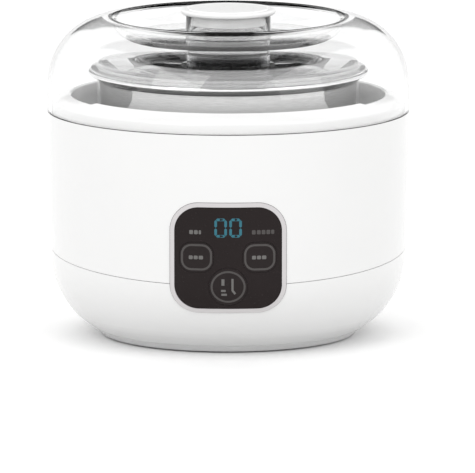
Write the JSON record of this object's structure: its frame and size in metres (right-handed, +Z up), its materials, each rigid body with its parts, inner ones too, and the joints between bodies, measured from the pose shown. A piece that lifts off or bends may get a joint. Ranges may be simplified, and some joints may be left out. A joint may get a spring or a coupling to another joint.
{
  "type": "yogurt maker",
  "caption": "Round electric yogurt maker: white two-part body with a front key panel, lidded inner pot in a heated chamber, clear domed cover with a dished top and knob.",
  "frame": {"origin": "centre of the circle the rubber feet stand on, at the bottom", "axes": "+Z up through the body's axis, -Y towards the front panel, +Y towards the mains inlet"},
  "size_m": [0.185, 0.1852, 0.1684],
  "materials": {
    "white_shell": "smooth gloss ABS",
    "clear_plastic": "clear polycarbonate",
    "white_gloss": "smooth gloss",
    "clear_lid": "clear styrene acrylonitrile",
    "silicone": "soft white silicone",
    "polished_steel": "drawn stainless steel, polished",
    "chamber_aluminium": "spun aluminium with a dark non-stick coat",
    "heater_aluminium": "cast aluminium",
    "mica": "mica sandwich element",
    "zinc_steel": "zinc-plated steel",
    "sensor_can": "satin can",
    "fuse_sleeve": "glass-fibre sleeve",
    "grey_base": "fine matt, light grey",
    "foot_rubber": "matt rubber",
    "circuit_board": "solder mask",
    "transformer_black": "moulded",
    "relay_blue": "moulded",
    "capacitor_sleeve": "heat-shrink sleeve",
    "terminal_white": "nylon",
    "inlet_black": "fine matt",
    "pin_brass": "plated brass",
    "bezel_grey": "smooth gloss, pale grey",
    "panel_black": "smooth gloss, smoked black",
    "carrier_black": "moulded",
    "display_module": "smoked face",
    "switch_black": "moulded",
    "key_black": "smooth gloss, smoked black",
    "lead_white": "silicone insulation",
    "lead_brown": "PVC insulation",
    "cable_grey": "PVC insulation"
  },
  "bodies": {
    "base": {"upper_housing": "white_shell", "lower_housing": "white_shell", "top_collar": "white_shell", "heating_chamber": "chamber_aluminium", "heater_plate": "heater_aluminium", "heating_element": "mica", "heater_clamp": "zinc_steel", "heater_studs": "zinc_steel", "heater_nuts": "zinc_steel", "thermistor": "sensor_can", "thermal_fuse": "fuse_sleeve", "collar_screws": "zinc_steel", "base_screws": "zinc_steel", "board_screws": "zinc_steel", "display_screws": "zinc_steel", "base_cover": "grey_base", "rubber_feet": "foot_rubber", "power_board": "circuit_board", "board_transformer": "transformer_black", "board_relay": "relay_blue", "board_capacitors": "capacitor_sleeve", "board_terminals": "terminal_white", "power_inlet": "inlet_black", "inlet_pins": "pin_brass", "panel_bezel": "bezel_grey", "panel_lens": "panel_black", "panel_carrier": "carrier_black", "display_board": "circuit_board", "digit_display": "display_module", "key_switches": "switch_black", "heater_leads": "lead_white", "inlet_leads": "lead_brown", "display_cable": "cable_grey", "sensor_lead": "lead_white"},
    "dome": {"dome_cover": "clear_plastic", "dome_knob": "white_gloss", "knob_disc": "white_gloss"},
    "lid": {"inner_lid": "clear_lid", "inner_lid_knob": "clear_lid", "lid_gasket": "silicone"},
    "pot": {"pot_liner": "polished_steel"},
    "menu_button": {"menu_key": "key_black"},
    "timer_button": {"timer_key": "key_black"},
    "power_button": {"power_key": "key_black"}
  },
  "joints": [
    {"name": "dome_lift", "type": "slide", "parent": "base", "child": "dome", "axis": [0, 0, 1], "range_m": [0, 0.22]},
    {"name": "lid_lift", "type": "slide", "parent": "base", "child": "lid", "axis": [0, 0, 1], "range_m": [0, 0.14]},
    {"name": "pot_lift", "type": "slide", "parent": "base", "child": "pot", "axis": [0, 0, 1], "range_m": [0, 0.09]},
    {"name": "menu_press", "type": "slide", "parent": "base", "child": "menu_button", "axis": [0, 1, 0], "range_m": [0, 0.0008], "stiffness_N_per_m": 400, "springref_m": -0.0005},
    {"name": "timer_press", "type": "slide", "parent": "base", "child": "timer_button", "axis": [0, 1, 0], "range_m": [0, 0.0008], "stiffness_N_per_m": 400, "springref_m": -0.0005},
    {"name": "power_press", "type": "slide", "parent": "base", "child": "power_button", "axis": [0, 1, 0], "range_m": [0, 0.0008], "stiffness_N_per_m": 400, "springref_m": -0.0005}
  ],
  "couplings": [
    {"joint": "lid_lift", "follows": "dome_lift", "ratio": 0.63},
    {"joint": "pot_lift", "follows": "dome_lift", "ratio": 0.38}
  ]
}
